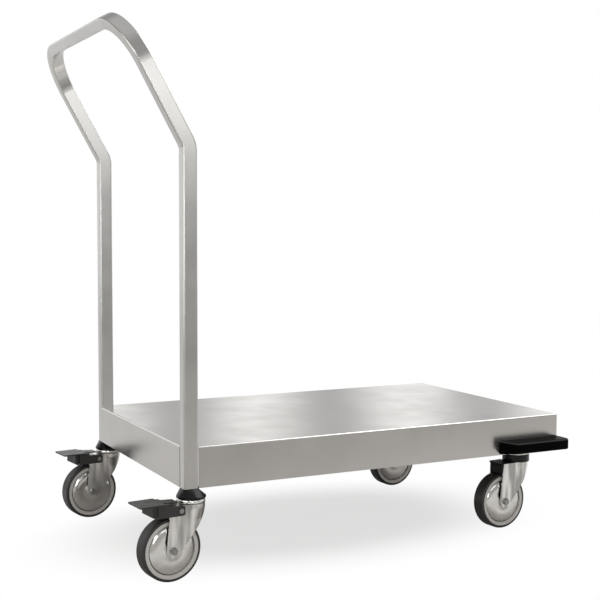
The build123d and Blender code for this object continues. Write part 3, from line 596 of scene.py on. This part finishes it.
def studio_floor():
    """White paper that takes the cart's shadow, with a painted shadow round the cart as well: it
    is less white there and goes over to plain white around it.
    """
    mesh = bpy.data.meshes.new("studio_floor")
    corners = [(-FLOOR_HALF, -FLOOR_HALF, 0), (FLOOR_HALF, -FLOOR_HALF, 0),
               (FLOOR_HALF, FLOOR_HALF, 0), (-FLOOR_HALF, FLOOR_HALF, 0)]
    mesh.from_pydata(corners, [], [(0, 1, 2, 3)])
    floor = bpy.data.objects.new("studio_floor", mesh)
    bpy.context.scene.collection.objects.link(floor)
    made, tree = new_material("white_paper_floor", FLOOR_COLOUR)
    place = put(tree, "ShaderNodeTexCoord").outputs["Object"]
    in_decks = put(tree, "ShaderNodeVectorMath", {0: place, 1: DECK_HALF}, operation="DIVIDE")
    away = put(tree, "ShaderNodeVectorMath", {0: in_decks.outputs[0]},
               operation="LENGTH").outputs["Value"]
    # less white under and round the cart: a painted shadow, added to the real shadow the paper
    # takes
    painted_shadow_fade = put(tree, "ShaderNodeMapRange", {
        "Value": away, "From Min": FLOOR_NEAR, "From Max": FLOOR_FAR, "To Min": FLOOR_WHITE},
        interpolation_type="SMOOTHSTEP")
    back = put(tree, "ShaderNodeVectorMath", {0: place, 1: BACKDROP_SIDE},
               operation="DOT_PRODUCT").outputs["Value"]
    behind = put(tree, "ShaderNodeMapRange", {
        "Value": back, "From Min": OPEN_FRONT, "From Max": OPEN_BACK, "To Max": OPEN_WHITE},
        interpolation_type="SMOOTHSTEP")
    beside = put(tree, "ShaderNodeMapRange", {
        "Value": away, "From Min": OPEN_NEAR, "From Max": OPEN_FAR},
        interpolation_type="SMOOTHSTEP")
    open_floor = put(tree, "ShaderNodeMath", {0: behind.outputs[0], 1: beside.outputs[0]},
                     operation="MULTIPLY")
    rays = put(tree, "ShaderNodeLightPath").outputs
    shiny = put(tree, "ShaderNodeMath", {0: rays["Is Glossy Ray"], 1: open_floor.outputs[0]},
                operation="MULTIPLY")
    clear = put(tree, "ShaderNodeMath", {
        0: rays["Is Camera Ray"], 1: rays["Is Transmission Ray"]}, operation="MAXIMUM")
    seen = put(tree, "ShaderNodeMath", {0: clear.outputs[0], 1: shiny.outputs[0]},
               operation="MAXIMUM")
    amount = put(tree, "ShaderNodeMath", {0: painted_shadow_fade.outputs[0], 1: seen.outputs[0]},
                 operation="MULTIPLY")
    paper = put(tree, "ShaderNodeBsdfDiffuse", {"Color": FLOOR_COLOUR})
    white = put(tree, "ShaderNodeEmission", {"Color": "#ffffff", "Strength": 1.0})
    mixed = put(tree, "ShaderNodeMixShader", {0: amount.outputs[0], 1: paper.outputs[0],
                                              2: white.outputs[0]})
    # seen from below the floor isn't there, so that the underside shows
    below = put(tree, "ShaderNodeNewGeometry").outputs["Backfacing"]
    clear_below = put(tree, "ShaderNodeBsdfTransparent")
    one_sided = put(tree, "ShaderNodeMixShader", {0: below, 1: mixed.outputs[0],
                                                  2: clear_below.outputs[0]})
    put(tree, "ShaderNodeOutputMaterial", {"Surface": one_sided.outputs[0]})
    mesh.materials.append(made)


studio_floor()

# ------------------------------------------------------------------ world

# brightness of the room, where 1 is white
ROOM_LEVEL = 0.50          # low in front of the cart
HIGH_LEVEL = 0.40          # the dark upper part of the room, behind the camera
EAVES_LEVEL = 0.42         # above the white wall
WALL_LEVEL = 1.00          # white wall behind the cart, mean
WALL_SWING = 0.44          # its tall panels are lighter and darker by this much, in metal
CEILING_LEVEL = 0.70
PANEL_TURN = math.radians(7.8)      # from one light panel to the next
PANEL_START = math.radians(CAMERA_TURN - 2.2)
# one level goes over to the next between these rises, the Z of a direction one unit long
ROOM_RISE = (0.15, 0.35)
EAVES_RISE = (0.22, 0.6)
CEILING_RISE = (0.7, 0.95)
WALL_EDGE = 0.35           # and room to wall within this, to either side of the cart


def studio_world():
    """A white wall behind the cart, and a darker room in front of it.

    The camera sees plain white. Metal sees that white wall with its tall panels."""
    world = bpy.data.worlds.new("studio")
    bpy.context.scene.world = world
    world.use_nodes = True
    tree = world.node_tree
    tree.nodes.clear()
    way = put(tree, "ShaderNodeTexCoord").outputs["Generated"]
    parts = put(tree, "ShaderNodeSeparateXYZ", {0: way}).outputs
    towards_wall = put(tree, "ShaderNodeVectorMath", {0: way, 1: BACKDROP_SIDE},
                       operation="DOT_PRODUCT").outputs["Value"]
    room = put(tree, "ShaderNodeMapRange", {
        "Value": parts["Z"], "From Min": ROOM_RISE[0], "From Max": ROOM_RISE[1],
        "To Min": ROOM_LEVEL, "To Max": HIGH_LEVEL}, interpolation_type="SMOOTHSTEP")
    wall = put(tree, "ShaderNodeMapRange", {
        "Value": towards_wall, "From Min": -WALL_EDGE, "From Max": WALL_EDGE},
        interpolation_type="SMOOTHSTEP")
    turn = put(tree, "ShaderNodeMath", {0: parts["X"], 1: parts["Y"]}, operation="ARCTAN2")
    phase = put(tree, "ShaderNodeMath", {
        0: turn.outputs[0], 1: math.tau / PANEL_TURN, 2: -PANEL_START * math.tau / PANEL_TURN},
        operation="MULTIPLY_ADD")
    ripple = put(tree, "ShaderNodeMath", {0: phase.outputs[0]}, operation="COSINE")
    rays = put(tree, "ShaderNodeLightPath").outputs
    swing = put(tree, "ShaderNodeMath", {0: rays["Is Glossy Ray"], 1: WALL_SWING},
                operation="MULTIPLY")
    panels = put(tree, "ShaderNodeMath", {0: ripple.outputs[0], 1: swing.outputs[0],
                                          2: WALL_LEVEL}, operation="MULTIPLY_ADD")
    eaves = put(tree, "ShaderNodeMapRange", {
        "Value": parts["Z"], "From Min": EAVES_RISE[0], "From Max": EAVES_RISE[1]},
        interpolation_type="SMOOTHSTEP")
    behind = put(tree, "ShaderNodeMix", {0: eaves.outputs[0], 2: panels.outputs[0],
                                         3: EAVES_LEVEL}, data_type="FLOAT")
    around = put(tree, "ShaderNodeMix", {0: wall.outputs[0], 2: room.outputs[0],
                                         3: behind.outputs[0]}, data_type="FLOAT")
    up = put(tree, "ShaderNodeMapRange", {
        "Value": parts["Z"], "From Min": CEILING_RISE[0], "From Max": CEILING_RISE[1]},
        interpolation_type="SMOOTHSTEP")
    level = put(tree, "ShaderNodeMix", {
        0: up.outputs[0], 2: around.outputs[0], 3: CEILING_LEVEL}, data_type="FLOAT")
    seen = put(tree, "ShaderNodeMath", {
        0: rays["Is Camera Ray"], 1: rays["Is Transmission Ray"]}, operation="MAXIMUM")
    shown = put(tree, "ShaderNodeMix", {0: seen.outputs[0], 2: level.outputs[0], 3: 1.0},
                data_type="FLOAT")
    back = put(tree, "ShaderNodeBackground", {"Color": "#ffffff", "Strength": shown.outputs[0]})
    put(tree, "ShaderNodeOutputWorld", {"Surface": back.outputs[0]})


studio_world()

# ------------------------------------------------------------------ lamps


def soft_lamp(name, place, target, width, height, level):
    """A rectangular softbox; level is the brightness of its face, where 1 is white."""
    data = bpy.data.lights.new(name, "AREA")
    data.shape = "RECTANGLE"
    data.size, data.size_y = width, height
    data.energy = level * math.pi * width * height
    lamp = bpy.data.objects.new(name, data)
    aim = (Vector(target) - Vector(place)).to_track_quat("-Z", "Y")
    lamp.matrix_world = Matrix.Translation(place) @ aim.to_matrix().to_4x4()
    bpy.context.scene.collection.objects.link(lamp)


# high in front on the right: the sides of the handle's leaning legs mirror it
soft_lamp("front_softbox", place=(0.8, -3.6, 1.52), target=(0.8, 0.0, 1.52),
          width=1.8, height=0.8, level=1.4)
# small and bright, behind and above the camera: glints on caps and rings
soft_lamp("key_softbox", place=(-1.9, -3.4, 2.0), target=(-0.3, -0.2, 0.1),
          width=0.7, height=0.7, level=5.0)
# low in front: the shine on forks and discs
soft_lamp("low_card", place=(-0.95, -3.5, 0.75), target=(-0.4, -0.3, 0.1),
          width=0.9, height=0.8, level=4.0)
# on the left: light on the handle's end of the deck
soft_lamp("left_softbox", place=(-3.2, -1.3, 1.15), target=(0.0, -0.2, 0.5),
          width=2.2, height=2.0, level=1.5)
# overhead on the right: light on the deck, and the shadow under the cart
soft_lamp("top_softbox", place=(1.75, -0.5, 2.7), target=(0.2, 0.0, 0.2),
          width=2.6, height=1.8, level=2.6)
